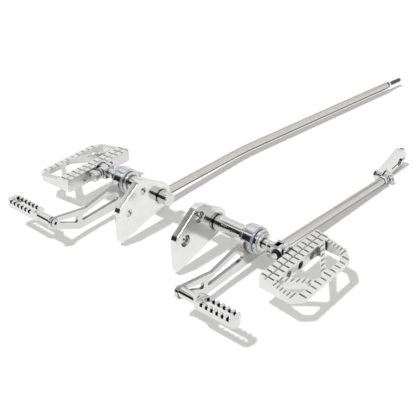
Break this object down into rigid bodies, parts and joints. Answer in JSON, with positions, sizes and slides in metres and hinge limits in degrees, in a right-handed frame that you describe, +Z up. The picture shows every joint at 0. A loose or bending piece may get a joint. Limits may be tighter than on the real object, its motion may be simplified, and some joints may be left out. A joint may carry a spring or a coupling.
{
  "type": "motorcycle forward controls",
  "caption": "Forward foot controls: two mounting plates with shift and brake levers, toe pegs, folding toothed foot pegs and linkage rods.",
  "frame": {"origin": "inboard mounting face of the left plate, midway between its two bolt holes", "axes": "+X outboard on the left side, +Y to the rear of the motorcycle, +Z up"},
  "size_m": [0.4617, 0.7815, 0.0845],
  "materials": {
    "polished_aluminium": "polished, sharp reflections",
    "tumbled_aluminium": "fine satin, near white",
    "brushed_stainless": "brushed along its length",
    "bright_steel": "bright zinc plate",
    "dark_steel": "black oxide",
    "blue_washer": "smooth, pale blue",
    "bronze": "plain sintered"
  },
  "bodies": {
    "plates_and_pivots": {"left_mount_plate": "tumbled_aluminium", "left_pivot_bolt": "polished_aluminium", "left_spacer_ring": "polished_aluminium", "left_pivot_sleeve": "polished_aluminium", "left_inner_thrust_washer": "blue_washer", "left_outer_thrust_washer": "blue_washer", "left_pivot_collar": "polished_aluminium", "left_peg_mount": "polished_aluminium", "right_mount_plate": "tumbled_aluminium", "right_pivot_bolt": "polished_aluminium", "right_spacer_ring": "polished_aluminium", "right_pivot_sleeve": "polished_aluminium", "right_inner_thrust_washer": "blue_washer", "right_outer_thrust_washer": "blue_washer", "right_pivot_collar": "polished_aluminium", "right_peg_mount": "polished_aluminium"},
    "shift_lever": {"left_shift_lever": "polished_aluminium", "left_lever_bushing": "bronze", "left_toe_peg": "polished_aluminium", "left_toe_peg_bolt": "bright_steel", "left_rod_ball": "bright_steel", "left_rod_spacer": "polished_aluminium", "left_rod_bolt": "dark_steel", "left_rod_lock_nut": "bright_steel"},
    "brake_lever": {"right_brake_lever": "polished_aluminium", "right_lever_bushing": "bronze", "right_toe_peg": "polished_aluminium", "right_toe_peg_bolt": "bright_steel", "right_rod_ball": "bright_steel", "right_rod_spacer": "polished_aluminium", "right_rod_bolt": "dark_steel", "right_rod_lock_nut": "bright_steel"},
    "left_peg": {"left_peg_knuckle": "polished_aluminium", "left_peg_pin": "bright_steel", "left_pin_clip": "dark_steel", "left_foot_peg": "tumbled_aluminium", "left_peg_bolt": "dark_steel"},
    "right_peg": {"right_peg_knuckle": "polished_aluminium", "right_peg_pin": "bright_steel", "right_pin_clip": "dark_steel", "right_foot_peg": "tumbled_aluminium", "right_peg_bolt": "dark_steel"},
    "shift_rod": {"left_rod_end": "bright_steel", "left_rod_jam_nut": "bright_steel", "shift_rod": "brushed_stainless", "far_rod_end": "bright_steel", "far_jam_nut": "bright_steel"},
    "splined_arm": {"splined_arm": "polished_aluminium", "pinch_bolt": "dark_steel", "far_ball": "bright_steel", "far_bolt": "bright_steel", "far_nut": "bright_steel"},
    "brake_rod": {"right_rod_end": "bright_steel", "right_rod_jam_nut": "bright_steel", "brake_rod": "brushed_stainless", "stud_nut": "bright_steel", "rod_stud": "dark_steel"}
  },
  "joints": [
    {"name": "shift_lever_pivot", "type": "hinge", "parent": "plates_and_pivots", "child": "shift_lever", "pos_m": [0.0693, 0.0476, -0.01265], "axis": [1, 0, 0], "range_deg": [-12, 12]},
    {"name": "brake_lever_pivot", "type": "hinge", "parent": "plates_and_pivots", "child": "brake_lever", "pos_m": [-0.1598, 0.0476, -0.01265], "axis": [1, 0, 0], "range_deg": [-6, 16]},
    {"name": "left_peg_fold", "type": "hinge", "parent": "plates_and_pivots", "child": "left_peg", "pos_m": [0.1118, 0.0476, -0.01265], "axis": [0, -1, -0.0087], "range_deg": [0, 85]},
    {"name": "right_peg_fold", "type": "hinge", "parent": "plates_and_pivots", "child": "right_peg", "pos_m": [-0.2023, 0.0476, -0.01265], "axis": [0, 0.9999, 0.014], "range_deg": [0, 85]},
    {"name": "shift_rod_eye", "type": "hinge", "parent": "shift_lever", "child": "shift_rod", "pos_m": [0.084, 0.0696, -0.03815], "axis": [1, 0, 0], "range_deg": [-25, 40]},
    {"name": "splined_arm_eye", "type": "hinge", "parent": "shift_rod", "child": "splined_arm", "pos_m": [0.097, 0.345, -0.047], "axis": [1, 0, 0], "range_deg": [-45, 45]},
    {"name": "brake_rod_eye", "type": "hinge", "parent": "brake_lever", "child": "brake_rod", "pos_m": [-0.1235, 0.0696, -0.03815], "axis": [1, 0, 0], "range_deg": [-25, 40]}
  ]
}
